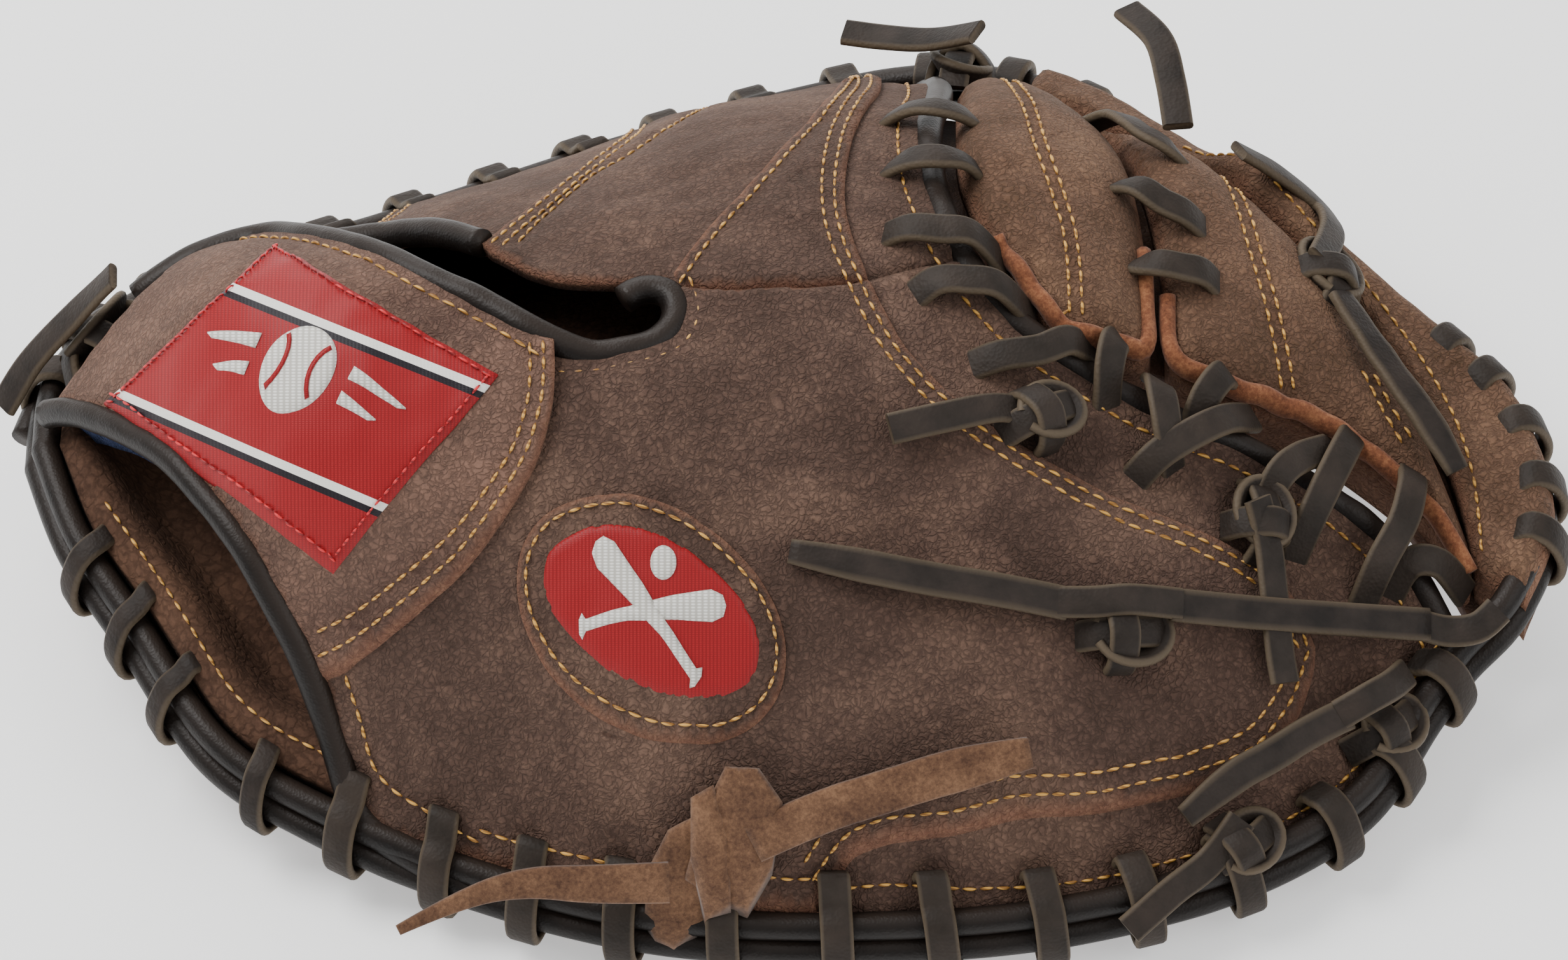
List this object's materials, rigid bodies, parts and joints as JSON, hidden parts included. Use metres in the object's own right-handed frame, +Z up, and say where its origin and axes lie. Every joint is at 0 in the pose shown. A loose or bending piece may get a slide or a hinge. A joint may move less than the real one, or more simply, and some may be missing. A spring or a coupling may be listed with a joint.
{
  "type": "baseball catcher's mitt",
  "caption": "Padded catcher's mitt for the left hand, lying palm down, with a laced web, a labelled wrist strap, rolled rims and free lace ends.",
  "frame": {"origin": "middle of the mitt's box on the floor it lies on", "axes": "+X from the heel to the web, +Y from the thumb rim to the finger rim, +Z up out of the back; the palm faces down"},
  "size_m": [0.2915, 0.2322, 0.0957],
  "materials": {
    "shell": "matte pebbled nubuck cowhide, medium brown",
    "palm": "smooth oiled palm leather, dark brown",
    "liner": "soft unfinished lining leather, tan",
    "felt": "needled wool felt padding, off-white",
    "binding": "smooth dark brown binding leather with a soft sheen",
    "lace": "grey-brown rawhide lace, matte",
    "thong": "brown leather thong, suede edges",
    "patch": null,
    "fleece": "dark navy pile lining",
    "thread": "golden yellow waxed thread"
  },
  "bodies": {
    "finger_side": {"palm_shell_finger": "palm", "web_palm_panel_finger": "palm", "palm_pad_finger": "felt", "palm_liner_finger": "liner", "pinky_loop": "liner", "finger_crotch_panel": "shell", "finger_panel_index": "shell", "finger_panel_middle": "shell", "finger_panel_ring": "shell", "finger_panel_pinky": "shell", "wrist_strap": "shell", "web_tube_a_finger": "shell", "web_tube_b_finger": "shell", "web_rim_panel_finger": "shell", "strap_fleece": "fleece", "strap_label": "patch", "binding_wrist_finger": "binding", "binding_slot_strap": "binding", "binding_slot_finger": "binding", "binding_web_finger": "binding", "back_roll_finger": "binding", "palm_roll_finger": "binding", "rim_lace_heel": "lace", "rim_lace_finger": "lace", "web_rim_lace_finger": "lace", "crotch_lace": "lace", "lace_knots_finger": "lace"},
    "thumb_side": {"palm_shell_thumb": "palm", "palm_pad_thumb": "felt", "palm_liner_thumb": "liner", "thumb_back_panel": "shell", "thumb_rim_panel": "shell", "oval_patch": "patch", "oval_patch_ring": "shell", "web_tube_a_thumb": "shell", "web_tube_b_thumb": "shell", "web_palm_panel_thumb": "palm", "web_rim_panel_thumb": "shell", "binding_wrist_thumb": "binding", "binding_web_thumb": "binding", "back_roll_thumb": "binding", "palm_roll_thumb": "binding", "rim_lace_thumb": "lace", "web_rim_lace_thumb": "lace", "web_foot_lace": "lace", "lace_knots_thumb": "lace", "thong_knot": "thong", "thumb_loop": "liner", "tail_taut_lace": "lace", "tail_thong_right": "thong", "tail_thong_left": "thong", "tail_web_top": "lace", "tail_thumb_tip": "lace", "taut_lace": "lace"}
  },
  "joints": [
    {"name": "mitt_fold", "type": "hinge", "parent": "finger_side", "child": "thumb_side", "pos_m": [-0.1, -0.031, 0.039], "axis": [0.9703, 0.2218, 0.097], "range_deg": [-6, 24]}
  ]
}
